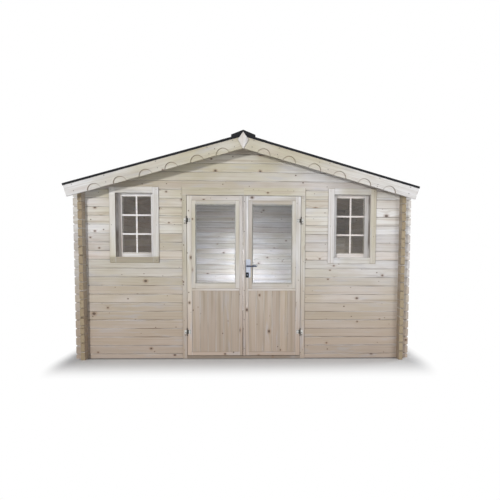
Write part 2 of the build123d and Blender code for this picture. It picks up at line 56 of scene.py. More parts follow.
# The camera stands in front of the doors, a little to the right
EYE = Vector((0.191, -6.087, 1.333))
YAW, PITCH, ROLL = math.radians(1.702), math.radians(3.32), math.radians(0.29)
SENSOR = 36.0
LENS = 28.48
SHIFT = (-0.0446, 0.0343)
FAR_CLIP = 200.0


class Value:
    """One output of a recipe's nodes, which can be used in sums."""

    def __init__(self, recipe, socket):
        self.recipe = recipe
        self.socket = socket

    def sum(self, operation, *values):
        return self.recipe.node("ShaderNodeMath", {"operation": operation}, values)

    def other(self, name):
        """Another output of the same node."""
        return Value(self.recipe, self.socket.node.outputs[name])

    def __add__(self, value):
        return self.sum("ADD", self, value)

    __radd__ = __add__

    def __sub__(self, value):
        return self.sum("SUBTRACT", self, value)

    def __rsub__(self, value):
        return self.sum("SUBTRACT", value, self)

    def __mul__(self, value):
        return self.sum("MULTIPLY", self, value)

    __rmul__ = __mul__

    def __truediv__(self, value):
        return self.sum("DIVIDE", self, value)

    def __rtruediv__(self, value):
        return self.sum("DIVIDE", value, self)

    def __gt__(self, value):
        return self.sum("GREATER_THAN", self, value)

    def __lt__(self, value):
        return self.sum("LESS_THAN", self, value)

    def __abs__(self):
        return self.sum("ABSOLUTE", self)

    def floor(self):
        return self.sum("FLOOR", self)

    def fraction(self):
        return self.sum("FRACT", self)

    def sine(self):
        return self.sum("SINE", self)

    def root(self):
        return self.sum("SQRT", self)

    def least(self, value):
        return self.sum("MINIMUM", self, value)

    def most(self, value):
        return self.sum("MAXIMUM", self, value)

    def step(self, start, end):
        """Goes smoothly from 0 to 1 while this value goes from start to end."""
        settings = {"interpolation_type": "SMOOTHSTEP"}
        return self.recipe.node("ShaderNodeMapRange", settings, (self, start, end, 0.0, 1.0))


class Recipe:
    """The nodes of a material or of the sky, which end at the surface socket of the output."""

    def __init__(self, owner, output):
        owner.use_nodes = True
        self.tree = owner.node_tree
        self.tree.nodes.clear()
        self.surface = self.tree.nodes.new(output).inputs["Surface"]

    def node(self, kind, settings=None, values=(), output=0):
        """Adds a node with its settings and the values or links of its sockets."""
        made = self.tree.nodes.new(kind)
        for key, setting in (settings or {}).items():
            setattr(made, key, setting)
        pairs = values.items() if isinstance(values, dict) else enumerate(values)
        for key, value in pairs:
            self.plug(made.inputs[key], value)
        return Value(self, made.outputs[output])

    def plug(self, socket, value):
        if isinstance(value, Value):
            self.tree.links.new(value.socket, socket)
        else:
            socket.default_value = value

    def seen_rays(self):
        """One for the rays that come from the camera, a mirror or glass."""
        rays = self.node("ShaderNodeLightPath")
        return rays.most(rays.other("Is Glossy Ray")).most(rays.other("Is Transmission Ray"))


class Finish(Recipe):
    """One material made of nodes, with a Principled shader at its end."""

    def __init__(self, name):
        self.material = bpy.data.materials.new(name)
        super().__init__(self.material, "ShaderNodeOutputMaterial")
        self.shader = self.tree.nodes.new("ShaderNodeBsdfPrincipled")
        self.shine = Value(self, self.shader.outputs[0])
        self.plug(self.surface, self.shine)

    def set(self, **sockets):
        """Sets the shader's own sockets, with Base_Color for Base Color."""
        for key, value in sockets.items():
            self.plug(self.shader.inputs[key.replace("_", " ")], value)

    def mix_in(self, share, shader):
        """Shows another shader in a share of the surface."""
        self.plug(self.surface, self.node("ShaderNodeMixShader", values=(share, self.shine, shader)))

    def place(self):
        """The three object coordinates."""
        return self.parts(self.node("ShaderNodeTexCoord", output="Object"))

    def facing(self):
        """The three parts of the object-space normal."""
        return self.parts(self.node("ShaderNodeTexCoord", output="Normal"))

    def parts(self, vector):
        first = self.node("ShaderNodeSeparateXYZ", values=(vector,))
        return first, first.other("Y"), first.other("Z")

    def point(self, x, y, z):
        return self.node("ShaderNodeCombineXYZ", values=(x, y, z))

    def blend(self, share, first, second, kind="MIX"):
        settings = {"data_type": "RGBA", "blend_type": kind}
        return self.node("ShaderNodeMix", settings, {0: share, 6: first, 7: second}, output=2)

    def noise(self, point, scale=1.0, detail=3.0, roughness=0.5):
        values = {"Vector": point, "Scale": scale, "Detail": detail, "Roughness": roughness}
        return self.node("ShaderNodeTexNoise", {"noise_dimensions": "3D"}, values)

    def chance(self, x, y, z):
        """A random number for each whole set of numbers."""
        settings = {"noise_dimensions": "3D"}
        return self.node("ShaderNodeTexWhiteNoise", settings, {"Vector": self.point(x, y, z)})

    def bump(self, height, strength, distance):
        values = {"Strength": strength, "Distance": distance, "Height": height}
        return self.node("ShaderNodeBump", values=values)


def colour(red, green, blue):
    """A screen colour from 0 to 255 as the linear colour that nodes take."""
    def linear(level):
        level /= 255
        return level / 12.92 if level <= 0.04045 else ((level + 0.055) / 1.055) ** 2.4
    return (linear(red), linear(green), linear(blue), 1.0)


# Colours of the timber
CREAM = colour(194, 188, 168)
WHITE_PINE = colour(222, 221, 221)
PINK_PINE = colour(184, 165, 151)
ROSY_PINE = colour(190, 175, 164)
GREY_PINE = colour(186, 186, 192)
LATE_WOOD = colour(160, 145, 126)
KNOT = colour(58, 44, 38)
KNOT_RING = colour(142, 114, 92)
JOINT = colour(92, 80, 68)
END_GRAIN = colour(166, 152, 128)
END_RING = colour(130, 112, 88)
CRACK = colour(84, 70, 56)

# Two sorts of knot: the length and width of the cell that may hold one, its chance and its radii
BIG_KNOTS = ((0.55, 0.10), 0.30, (0.007, 0.019))
PIN_KNOTS = ((0.23, 0.09), 0.26, (0.003, 0.0065))

# Numbers of the lowest log and board, so that none is below zero
FIRST_LOG = 40.0
FIRST_BOARD = 60.0


def knots(finish, along, across, seed, branchy, sort):
    """Knots, one at most in a cell: the knot, the ring around it and the grain that bends past it."""
    (length, width), chance, (smallest, largest) = sort
    place = finish.point(along / length, across / width, seed)
    spots = finish.node("ShaderNodeTexVoronoi", {"voronoi_dimensions": "2D"},
                        {"Vector": place, "Scale": 1.0}, output="Position")
    spot_x, spot_y, _ = finish.parts(spots)
    place_x, place_y, _ = finish.parts(place)
    off_x = (spot_x - place_x) * length
    off_y = (spot_y - place_y) * width
    away = (off_x * off_x * 0.62 + off_y * off_y).root()
    pick, size, _ = finish.parts(spots.other("Color"))
    chosen = pick < chance * branchy
    share = away / (size * size * (largest - smallest) + smallest)
    knot = chosen * share.step(1.15, 0.70)
    ring = chosen * share.step(2.6, 0.9)
    swirl = chosen * share.step(7.0, 0.0)
    return knot, ring, swirl


def timber(name, seed, layout, pale=0.35, branchy=1.0, warm_foot=0.80, tint=None, paler_by_place=None,
           shade=None, seam=0.45, streaky=1.0, bright=1.0, pale_ends=0.0):
    """Planed softwood. layout gives, from the place on the piece, the distances along, across and
    into the board, a number for the board, the distance to its edge and how far it shows end grain.
    pale, bright and streaky set its tone, branchy its knots, warm_foot how pink it is low down, seam its
    joint lines and pale_ends its sawn ends. tint is a colour for all of it. paler_by_place gives more
    whiteness by place, which on the logs and casings is partly painted light, and shade gives the share of
    a dark colour by place, which is painted shade on the scallops and the crossing log ends."""
    finish = Finish(name)
    x, y, z = finish.place()
    facing = finish.facing()
    along, across, deep, board, edge, end = layout((x, y, z), facing)

    luck = finish.chance(board, seed, 0.5)
    luck_red, luck_green, luck_blue = finish.parts(luck.other("Color"))
    shifted = along + luck_red * 9.0
    level = across + luck_green * 0.6

    big_knot, big_ring, big_swirl = knots(finish, shifted, level, seed, branchy, BIG_KNOTS)
    pin_knot, pin_ring, _ = knots(finish, shifted + 3.0, level, seed, branchy, PIN_KNOTS)

    # Growth lines, bent round the knots
    slow = finish.noise(finish.point(shifted * 0.9, across * 9.0, deep * 9.0), detail=2.0)
    bent = across + slow * 0.055 + big_swirl * 0.022
    lines = finish.noise(finish.point(shifted * 0.55, bent * 62.0, deep * 40.0), roughness=0.55)
    streaks = finish.noise(finish.point(shifted * 0.8, bent * 21.0, deep * 12.0 + 4.0), detail=2.0)
    rings = (bent * 880.0 + deep * 300.0).sine() * 0.5 + 0.5
    fibres = finish.noise(finish.point(shifted * 9.0, across * 520.0, deep * 520.0), detail=1.0)

    # Colour of the board, which changes along it
    patches = finish.noise(finish.point(shifted * 1.7, board * 3.1, seed + across * 3.0), detail=2.0)
    stains = finish.noise(finish.point(shifted * 2.6, board * 5.7 + across * 14.0, seed + 6.0))
    whiteness = patches.step(0.36, 0.66) * 0.50 + luck_blue * 0.25 + pale - 0.30
    # Whiteness by place, partly painted light
    if paler_by_place:
        whiteness = whiteness + paler_by_place(x, z)
    light = finish.blend(whiteness, CREAM, WHITE_PINE)
    rosy = luck_green.step(0.55, 1.0) * 0.40 + stains.step(0.52, 0.70) * 0.30
    light = finish.blend(rosy, light, ROSY_PINE)
    if warm_foot:
        light = finish.blend(z.step(1.30, 0.10) * warm_foot, light, PINK_PINE)
    if tint:
        light = finish.blend(0.5, light, tint)
    light = finish.blend(stains.step(0.46, 0.30) * 0.45, light, GREY_PINE)
    late = lines.step(0.48, 0.74) * 0.40 + streaks.step(0.45, 0.75) * 0.28 * streaky + rings * lines * 0.16
    body = finish.blend(late, light, LATE_WOOD)
    tone = luck * 0.20 * bright + 0.87 * bright
    grey = finish.node("ShaderNodeCombineColor", values=(tone, tone, tone))
    body = finish.blend(1.0, body, grey, "MULTIPLY")
    body = finish.blend(fibres.step(0.35, 0.8) * 0.16, body, LATE_WOOD)
    body = finish.blend(big_ring * 0.50 + pin_ring * 0.25, body, KNOT_RING)
    body = finish.blend(big_knot * 0.72 + pin_knot * 0.92, body, KNOT)

    # Sawn ends show rings round the heart and a crack or two
    heart_y = level - 0.45 + luck_blue * 0.02
    heart_z = deep + 0.03
    radius = (heart_y * heart_y + heart_z * heart_z * 0.6).root()
    end_rings = (radius * 1400.0 + slow * 6.0).sine() * 0.5 + 0.5
    cracks = finish.noise(finish.point(across * 46.0 + luck_red * 30.0, deep * 8.0, board), detail=1.0)
    sawn = finish.blend(end_rings * 0.35 + luck * 0.30, END_GRAIN, END_RING)
    if pale_ends:
        sawn = finish.blend(pale_ends, sawn, WHITE_PINE)
    sawn = finish.blend(cracks.step(0.66, 0.72) * 0.7, sawn, CRACK)
    body = finish.blend(end, body, sawn)
    if shade:
        share, dark = shade(x, y, z)
        body = finish.blend(share * (1.0 - end), body, dark)

    # A joint has a painted highlight on its arris in places and a dark line in others
    line = finish.noise(finish.point(along * 2.3, board * 2.9, seed + 2.0), detail=2.0).step(0.36, 0.66)
    body = finish.blend(edge.step(0.0085, 0.0060) * (1.0 - line) * seam * 0.8, body, WHITE_PINE)
    body = finish.blend(edge.step(0.0032, 0.0010) * (line * 0.80 + 0.10) * seam * 2.0, body, JOINT)

    finish.set(Base_Color=body, Roughness=lines * 0.12 + 0.58, Specular_IOR_Level=0.25)
    height = fibres * 0.35 + lines * 0.6 + rings * 0.25 - big_knot * 0.5 + end_rings * end * 0.3
    finish.set(Normal=finish.bump(height, 0.25, 0.0012))
    return finish.material


def courses(axis, first):
    """Layout of a wall of logs: axis is the logs' direction, first the height of the lowest joint."""
    def layout(place, facing):
        x, y, z = place
        along, deep = (x, y) if axis == "x" else (y, x)
        steps = (z - first) / LOG_COVER
        within = steps.fraction()
        edge = (0.5 - abs(within - 0.5)) * LOG_COVER
        face = abs(facing[0 if axis == "x" else 1])
        return along, within * LOG_COVER, deep, steps.floor() + FIRST_LOG, edge, face > 0.6
    return layout


def boards(axis, split, width, first=0.0, turn=0.0, gap=True):
    """Layout of boards side by side: axis is their direction, split the axis that counts them, turn
    the slope that they lie on. A single board has no gap beside it."""
    def layout(place, facing):
        if turn:
            x, y, z = place
            cos, sin = math.cos(turn), math.sin(turn)
            place = (x * cos + z * sin, y, z * cos - x * sin)
            facing = (facing[0] * cos + facing[2] * sin, facing[1], facing[2] * cos - facing[0] * sin)
        order = {"x": 0, "y": 1, "z": 2}
        along, across = place[order[axis]], place[order[split]]
        deep = place[3 - order[axis] - order[split]]
        steps = (across - first) / width
        within = steps.fraction()
        edge = (0.5 - abs(within - 0.5)) * width if gap else across * 0.0 + 1.0
        end = abs(facing[order[axis]]) > 0.7
        return along, within * width, deep, steps.floor() + FIRST_BOARD, edge, end
    return layout


def members(upright, joint_line, number):
    """Layout of a framed piece: upright tells stiles from rails, number tells the pieces apart."""
    def layout(place, facing):
        x, y, z = place
        stile = upright(x, z)
        rail = 1.0 - stile
        along = z * stile + x * rail
        across = x * stile + z * rail
        end = (abs(facing[2]) * stile + abs(facing[0]) * rail) > 0.7
        return along, across, y, number(x, z, stile), joint_line(x, z), end
    return layout


def stiles_and_rails(box, left_stile, right_stile):
    """Layout of a frame that fills the box, with rails between its two stiles."""
    left_edge = box[0].x + left_stile
    right_edge = box[1].x - right_stile

    def upright(x, z):
        return 1.0 - (x > left_edge) * (x < right_edge)

    def joint_line(x, z):
        return abs(x - left_edge).least(abs(x - right_edge)) * 1.6

    def number(x, z, stile):
        return (x > right_edge) * 3.0 + (1.0 - stile) * ((z > 1.0) + (z > 0.5) + 4.0)
    return members(upright, joint_line, number)


def dress(material, *names):
    for name in names:
        for slot in nodes[name].material_slots:
            slot.material = material


def painted_light_to_the_sides(x, z):
    """Painted light and shade: the logs are whiter towards the corners, more so on the right and higher
    up, and the top of the gable is whiter on its right and darker on its left.
    """
    right = x.step(0.1, 1.5) * 0.75
    left = x.step(-1.40, -1.85) * 0.55
    gable = z.step(1.90, 2.05) * (x.step(0.1, 0.9) * 0.45 - x.step(0.0, -0.6) * 0.20 - 0.05)
    return (right + left) * z.step(0.45, 1.3) + gable - 0.12


def casing_tone_and_painted_light(x, z):
    """The door casing takes the logs' painted light, and its head is darker."""
    return painted_light_to_the_sides(x, z) - z.step(1.87, 1.90) * 0.30


def window_tone_and_painted_light(x, z):
    """The right casing is whitest on its left side, and the left one greyer at its foot. The head of the
    left one is whitened with painted light where the bargeboard's shadow falls.
    """
    on_right = (x > 0.0) * (x.step(1.20, 1.02) * 0.70 - x.step(1.42, 1.48) * 0.30 + 0.15)
    # The left casing's head gets painted light
    return on_right - (x < 0.0) * (z.step(1.20, 1.17) * 1.10 - z.step(1.88, 1.91) * 0.20)


def window_foot(x, y, z):
    """The foot of the left casing is darker."""
    return (x < 0.0) * z.step(1.186, 1.172) * 0.42, colour(112, 102, 90)


def pale_to_the_eaves(x, z):
    """The bargeboards are whiter lower down the slope."""
    return abs(x).step(0.7, 1.9) * 0.95 - 0.10


def pale_to_the_meeting(x, z):
    """The leaves are whiter towards the middle, and the left hinge stile is darker than the right one."""
    middle = abs(x).step(0.62, 0.02) * 0.55
    return middle + x.step(0.55, 0.62) * 0.20 - x.step(-0.58, -0.62) * 0.15


def scallop_painted_shadow(x, y, z):
    """Painted shadow in the step round each scallop of a bargeboard, with a thin dark rim outside it."""
    cos, sin = math.cos(ROOF_PITCH), math.sin(ROOF_PITCH)
    down = abs(x) * cos - (z - BARGE_TOP) * sin
    rise = abs(x) * sin + (z - BARGE_TOP) * cos
    within = (down - SCALLOP_FIRST + SCALLOP_PITCH / 2) / SCALLOP_PITCH
    across = (within.fraction() - 0.5) * SCALLOP_PITCH
    up = rise - SCALLOP_UP
    away = (across * across + up * up).root() - SCALLOP_RADIUS
    one_of_six = (within > 0.0) * (within < SCALLOP_COUNT)
    inside = away.step(-0.011, -0.001) * (away < 0.0)
    rim = away.step(0.0025, 0.0) * (away > 0.0)
    return (inside * 0.50 + rim * 0.30) * one_of_six * (y < BARGE_BACK), colour(96, 74, 52)


def crossing_ends_painted_shade(x, y, z):
    """Painted shade: the side logs are darker and browner where they stand out past the corner."""
    return (abs(y) > PAST_CORNER) * 0.62, colour(140, 122, 100)


# Log walls
front_logs = timber("front logs", 1.0, courses("x", FRONT_JOINT), pale=0.30, branchy=1.4,
                    paler_by_place=painted_light_to_the_sides, pale_ends=0.80)
dress(front_logs, "front_wall_left", "front_wall_right", "front_gable")
back_logs = timber("back logs", 2.0, courses("x", FRONT_JOINT), pale=0.62, warm_foot=0.15, streaky=1.8)
dress(back_logs, "back_wall")
for seed, side in ((3.0, "left"), (4.0, "right")):
    side_logs = timber(f"{side} logs", seed, courses("y", SIDE_JOINT), pale=0.40, shade=crossing_ends_painted_shade)
    dress(side_logs, f"{side}_wall")

# Roof
purlin_timber = timber("purlin timber", 5.0, boards("y", "z", 0.5, first=1.9, gap=False), pale=0.2)
dress(purlin_timber, "ridge_purlin", "side_purlins")
for side, sign in SIDES:
    turn = -sign * ROOF_PITCH
    roof_layout = boards("x", "y", BOARD_COVER, turn=turn)
    dress(timber(f"{side} roof boards", 6.0 + turn, roof_layout, pale=0.1), f"roof_boards_{side}")
    barge_layout = boards("x", "z", 5.0, first=-2.5, turn=turn, gap=False)
    barge_pine = timber(f"{side} bargeboard pine", 8.0 + turn, barge_layout, pale=0.12, branchy=0.5,
                        warm_foot=0.0, paler_by_place=pale_to_the_eaves, streaky=0.7, shade=scallop_painted_shadow)
    dress(barge_pine, f"bargeboard_front_{side}", f"bargeboard_back_{side}")
finial_layout = boards("z", "x", 1.0, first=-0.5, gap=False)
dress(timber("finial pine", 9.0, finial_layout, pale=0.75, branchy=0.0, warm_foot=0.0), "finials")


def felt(name):
    """Mineral felt: dark grit on bitumen, with painted shade that makes the faces looking forwards
    darkest, as on the lip over the bargeboards.
    """
    finish = Finish(name)
    place = finish.point(*finish.place())
    grit = finish.noise(place, scale=900.0, detail=2.0, roughness=0.7)
    cloud = finish.noise(place, scale=2.2, detail=4.0, roughness=0.6)
    body = finish.blend(grit.step(0.40, 0.72), colour(16, 16, 18), colour(58, 59, 64))
    body = finish.blend(cloud.step(0.3, 0.7) * 0.35, body, colour(28, 28, 31))
    # Painted shade on the faces that look forwards
    lip = finish.facing()[1] < -0.7
    body = finish.blend(lip * 0.30, body, colour(6, 6, 8))
    finish.set(Base_Color=body, Roughness=grit * 0.2 + 0.72)
    finish.set(Normal=finish.bump(grit, 0.5, 0.0015))
    return finish.material


roof_grit = felt("roof felt")
dress(roof_grit, "roof_felt_left", "roof_felt_right", "ridge_cap")

# Doorway
LEAF_GAP = 0.005
casing_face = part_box("door_casing")[0].y
right_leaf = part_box("right_door_frame")
left_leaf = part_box("left_door_frame")
opening_top = right_leaf[1].z + LEAF_GAP


def door_casing_layout():
    """Two stiles with the head laid across them."""
    def upright(x, z):
        return z < opening_top

    def joint_line(x, z):
        return abs(z - opening_top)

    def number(x, z, stile):
        return (x > 0.0) * 2.0 + stile
    return members(upright, joint_line, number)


casing_pine = timber("door casing pine", 11.0, door_casing_layout(), pale=0.30, paler_by_place=casing_tone_and_painted_light,
                     bright=0.97)
dress(casing_pine, "door_casing")
dress(timber("door frame pine", 12.0, door_casing_layout(), pale=0.2), "door_frame")
threshold_layout = boards("x", "y", 1.0, first=-2.2, gap=False)
threshold_timber = timber("threshold timber", 13.0, threshold_layout, pale=0.0, tint=colour(84, 76, 68))
dress(threshold_timber, "door_threshold")

# Door leaves
HINGE_STILE, MEETING_STILE, LOCK_STILE, GLAZING_STILE = 0.053, 0.037, 0.058, 0.045
PANEL_BOARDS = 6
PANEL_BROWN = colour(178, 162, 148)
for side, leaf, stiles, glazing_pale in (
        ("left", left_leaf, (HINGE_STILE, MEETING_STILE), 0.28),
        ("right", right_leaf, (LOCK_STILE, HINGE_STILE), 0.52)):
    east = leaf[1].x
    leaf_pine = timber(f"{side} leaf pine", 20.0 + east, stiles_and_rails(leaf, *stiles), pale=0.62,
                       branchy=1.3, warm_foot=0.92, bright=1.04, paler_by_place=pale_to_the_meeting)
    dress(leaf_pine, f"{side}_door_frame")
    glazing_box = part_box(f"{side}_door_glazing_frame")
    glazing_layout = stiles_and_rails(glazing_box, GLAZING_STILE, GLAZING_STILE)
    glazing_pine = timber(f"{side} glazing pine", 24.0 + east, glazing_layout, pale=glazing_pale,
                          branchy=0.6, warm_foot=0.5, bright=0.97)
    dress(glazing_pine, f"{side}_door_glazing_frame")
    panel_low, panel_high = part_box(f"{side}_door_panel")
    board_width = (panel_high.x - panel_low.x) / PANEL_BOARDS
    panel_layout = boards("z", "x", board_width, first=panel_low.x)
    panel_pine = timber(f"{side} panel pine", 28.0 + east, panel_layout, pale=0.25, tint=PANEL_BROWN,
                        seam=0.25, streaky=2.2)
    dress(panel_pine, f"{side}_door_panel")
strip_layout = boards("z", "x", 1.0, first=-0.5, gap=False)
strip_pine = timber("meeting strip pine", 33.0, strip_layout, pale=0.9, branchy=0.4, warm_foot=0.8)
dress(strip_pine, "meeting_strip")

# Windows
CASING_STILE, WINDOW_STILE, SASH_STILE = 0.068, 0.031, 0.044
for side, _ in SIDES:
    casing_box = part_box(f"window_casing_{side}")
    west = casing_box[0].x
    window_pine = timber(f"{side} window casing pine", 40.0 + west,
                         stiles_and_rails(casing_box, CASING_STILE, CASING_STILE), pale=0.45, branchy=0.4,
                         warm_foot=0.5, paler_by_place=window_tone_and_painted_light, bright=1.04, shade=window_foot)
    dress(window_pine, f"window_casing_{side}")
    frame_layout = stiles_and_rails(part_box(f"window_frame_{side}"), WINDOW_STILE, WINDOW_STILE)
    frame_pine = timber(f"{side} window frame pine", 44.0 + west, frame_layout, pale=0.9, branchy=0.3,
                        warm_foot=0.0, bright=1.15)
    dress(frame_pine, f"window_frame_{side}")
    sash_layout = stiles_and_rails(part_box(f"window_sash_{side}"), SASH_STILE, SASH_STILE)
    sash_pine = timber(f"{side} sash pine", 48.0 + west, sash_layout, pale=1.3, branchy=0.0,
                       warm_foot=0.0, streaky=0.2, bright=1.12)
    dress(sash_pine, f"window_sash_{side}")

# Floor
floor_layout = boards("x", "y", BOARD_COVER, first=FLOOR_START)
dress(timber("floor board pine", 52.0, floor_layout, pale=0.2), "floor_boards")
joist_layout = boards("y", "x", 0.6, first=-1.8, gap=False)
dress(timber("joist timber", 53.0, joist_layout, pale=0.0), "floor_joists")


def clear_glass(name, tint):
    """Float glass that lamps shine through."""
    finish = Finish(name)
    ripple = finish.noise(finish.point(*finish.place()), scale=3.0, detail=1.0)
    finish.set(Base_Color=tint, Roughness=0.015, Normal=finish.bump(ripple, 0.02, 0.002))
    finish.set(Transmission_Weight=1.0, IOR=1.5)
    passing = finish.node("ShaderNodeBsdfTransparent", values={"Color": colour(244, 247, 246)})
    shadow = finish.node("ShaderNodeLightPath", output="Is Shadow Ray")
    finish.mix_in(shadow.most(shadow.other("Is Diffuse Ray")), passing)
    return finish.material


dress(clear_glass("door glass", colour(240, 242, 244)), "left_door_glass", "right_door_glass")
dress(clear_glass("left window glass", colour(229, 219, 214)), "window_glass_left")
dress(clear_glass("right window glass", colour(242, 235, 231)), "window_glass_right")

# Where the handle's lever stands off its plate and where the plate's painted dark reflection ends, and
# where painted shade makes a hinge darker than its leaves
LEVER_Y, PLATE_EDGE = -1.534, (0.0265, 0.0235)
HINGE_LEAF_Y, KNUCKLE_NEAR, KNUCKLE_FAR = -1.5315, (0.634, 0.641), 0.653


def metal(name, base, roughness, lever=False, hinge=False):
    """Steel with faint wear. A lever gets painted dark reflection on itself and along its plate's left
    edge, and a hinge gets painted shade on its knuckle, its edges and the leaf beside the knuckle.
    """
    finish = Finish(name)
    x, y, z = finish.place()
    wear = finish.noise(finish.point(x, y, z), scale=60.0)
    fine = finish.noise(finish.point(x, y, z * 6.0), scale=500.0, detail=1.0)
    dull = tuple(level * 0.7 for level in base[:3]) + (1.0,)
    body = finish.blend(wear.step(0.4, 0.75) * 0.5, base, dull)
    if lever:
        # Painted dark reflection on the lever and along the plate's left edge
        lever_reflection_mask = (y < LEVER_Y) * 0.9
        left_edge = x.step(*PLATE_EDGE) * (y > LEVER_Y)
        body = finish.blend(lever_reflection_mask.most(left_edge), body, colour(58, 62, 84))
    if hinge:
        # Painted shade on the knuckle, the hinge's edges and the leaf beside the knuckle
        turned = (finish.facing()[1] > -0.95).most(y < HINGE_LEAF_Y)
        knuckle_painted_shade = abs(x).step(*KNUCKLE_NEAR) * (abs(x) < KNUCKLE_FAR)
        body = finish.blend(turned.most(knuckle_painted_shade) * 0.88, body, colour(58, 52, 46))
    finish.set(Base_Color=body, Roughness=wear * 0.15 + fine * 0.08 + roughness, Metallic=1.0)
    finish.set(Normal=finish.bump(fine, 0.05, 0.0004))
    return finish.material


# Metals, and the pine of the beads
hinge_zinc = metal("zinc plated steel", colour(214, 213, 209), 0.30, hinge=True)
dress(hinge_zinc, "door_hinges", "left_door_hinges", "right_door_hinges")
satin_chrome = metal("satin chrome", colour(176, 184, 204), 0.18)
dress(metal("handle chrome", colour(204, 210, 224), 0.20, lever=True), "door_handle")
lock_steel = metal("lock steel", colour(58, 60, 64), 0.30)
dress(lock_steel, "lock_cylinder")
dark_steel = metal("dark screw steel", colour(50, 46, 42), 0.40)
galvanised = metal("galvanised nail steel", colour(120, 120, 118), 0.45)
bead_layout = boards("z", "x", 1.0, first=-2.2, gap=False)
bead_pine = timber("glazing bead pine", 60.0, bead_layout, pale=0.5, branchy=0.0)

# Pieces that are modelled here
TO_FRONT = Matrix.Rotation(math.radians(90), 4, "X")
TO_BACK = Matrix.Rotation(math.radians(-90), 4, "X")


def clear_selection():
    bpy.ops.object.select_all(action="DESELECT")


def settle(name):
    """Names the piece just added and puts its place into its mesh."""
    piece = bpy.context.object
    piece.name = name
    bpy.ops.object.transform_apply(location=True, rotation=True, scale=True)
    return piece


def choose(kind, test):
    """Selects, for an edit, the faces, edges or vertices of the active piece that pass the test."""
    bpy.ops.object.mode_set(mode="EDIT")
    bpy.ops.mesh.select_mode(type=kind)
    bpy.ops.mesh.select_all(action="DESELECT")
    bpy.ops.object.mode_set(mode="OBJECT")
    mesh = bpy.context.object.data
    if kind == "FACE":
        for face in mesh.polygons:
            face.select = test(face.center, face.normal)
    elif kind == "EDGE":
        for edge in mesh.edges:
            start, end = (mesh.vertices[number].co for number in edge.vertices)
            edge.select = test(start, end)
    else:
        for vertex in mesh.vertices:
            vertex.select = test(vertex.co)
    bpy.ops.object.mode_set(mode="EDIT")


def done(piece, body, material):
    """Leaves edit mode and gives the piece its finish and the body that it moves with."""
    if bpy.context.object.mode == "EDIT":
        bpy.ops.object.mode_set(mode="OBJECT")
    piece.data.materials.clear()
    piece.data.materials.append(material)
    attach(piece, body)
    clear_selection()


def repeat(model, name, places, body, material):
    """Copies a model to its places, each copy with its own mesh, and joins the copies."""
    clear_selection()
    for place in places:
        copy = model.copy()
        copy.data = model.data.copy()
        copy.data.transform(place)
        bpy.context.scene.collection.objects.link(copy)
        copy.select_set(True)
        bpy.context.view_layer.objects.active = copy
    if len(places) > 1:
        bpy.ops.object.join()
    piece = bpy.context.object
    piece.name = name
    done(piece, body, material)


def turned_blank(name, sides, radius, height):
    """A disc with its foot at the origin and its top chosen, ready for an edit."""
    clear_selection()
    middle = (0, 0, height / 2)
    bpy.ops.mesh.primitive_cylinder_add(vertices=sides, radius=radius, depth=height, location=middle)
    blank = settle(name)
    choose("FACE", lambda centre, normal: normal.z > 0.9)
    return blank


def screw_head(radius, height):
    """Pan head with a cross recess, its foot at the origin."""
    head = turned_blank("screw_head", 12, radius, height)
    bpy.ops.mesh.inset(thickness=radius * 0.22, depth=height * 0.45)
    bpy.ops.mesh.inset(thickness=radius * 0.16, depth=height * 0.10)
    top = height * 1.55

    def between_arms(place):
        off_axis = min(abs(place.x), abs(place.y)) > radius * 0.15
        return place.z > top - height * 0.02 and off_axis
    choose("VERT", between_arms)
    bpy.ops.transform.resize(value=(0.40, 0.40, 1.0), center_override=(0.0, 0.0, top))
    choose("FACE", lambda centre, normal: normal.z > 0.9 and centre.xy.length < radius * 0.1)
    bpy.ops.mesh.extrude_region_move(TRANSFORM_OT_translate={"value": (0.0, 0.0, -height * 0.9)})
    bpy.ops.transform.resize(value=(0.5, 0.5, 1.0), center_override=(0.0, 0.0, top))
    bpy.ops.object.mode_set(mode="OBJECT")
    return head


def nail_head(radius, height):
    """Flat head with a worn rim, its foot at the origin."""
    head = turned_blank("nail_head", 12, radius, height)
    bpy.ops.mesh.inset(thickness=radius * 0.18, depth=height * 0.35)
    bpy.ops.mesh.inset(thickness=radius * 0.35, depth=-height * 0.15)
    bpy.ops.object.mode_set(mode="OBJECT")
    return head


def collar(radius, height):
    """Turned rose round a lever's neck, its foot at the origin."""
    ring = turned_blank("collar", 32, radius, height)
    bpy.ops.mesh.inset(thickness=radius * 0.14, depth=height * 0.3)
    bpy.ops.mesh.inset(thickness=radius * 0.12, depth=-height * 0.25)
    bpy.ops.object.mode_set(mode="OBJECT")
    return ring


def key_plug(radius, height):
    """The turning part of a lock with its key slot, its foot at the origin."""
    plug = turned_blank("key_plug", 24, radius, height)
    bpy.ops.mesh.inset(thickness=radius * 0.10, depth=height * 0.2)
    bpy.ops.mesh.inset(thickness=radius * 0.15, depth=0.0)
    bpy.ops.transform.resize(value=(0.16, 1.0, 1.0), center_override=(0.0, 0.0, height))
    bpy.ops.mesh.extrude_region_move(TRANSFORM_OT_translate={"value": (0.0, 0.0, -height * 0.9)})
    bpy.ops.object.mode_set(mode="OBJECT")
    return plug


def fronts(points, y):
    """Places on a face that looks forwards."""
    return [Matrix.Translation((x, y, z)) @ TO_FRONT for x, z in points]


def backs(points, y):
    """Places on a face that looks backwards."""
    return [Matrix.Translation((x, y, z)) @ TO_BACK for x, z in points]


def evenly(first, pitch, count):
    """Distances that grow by the same step."""
    return [first + pitch * step for step in range(count)]


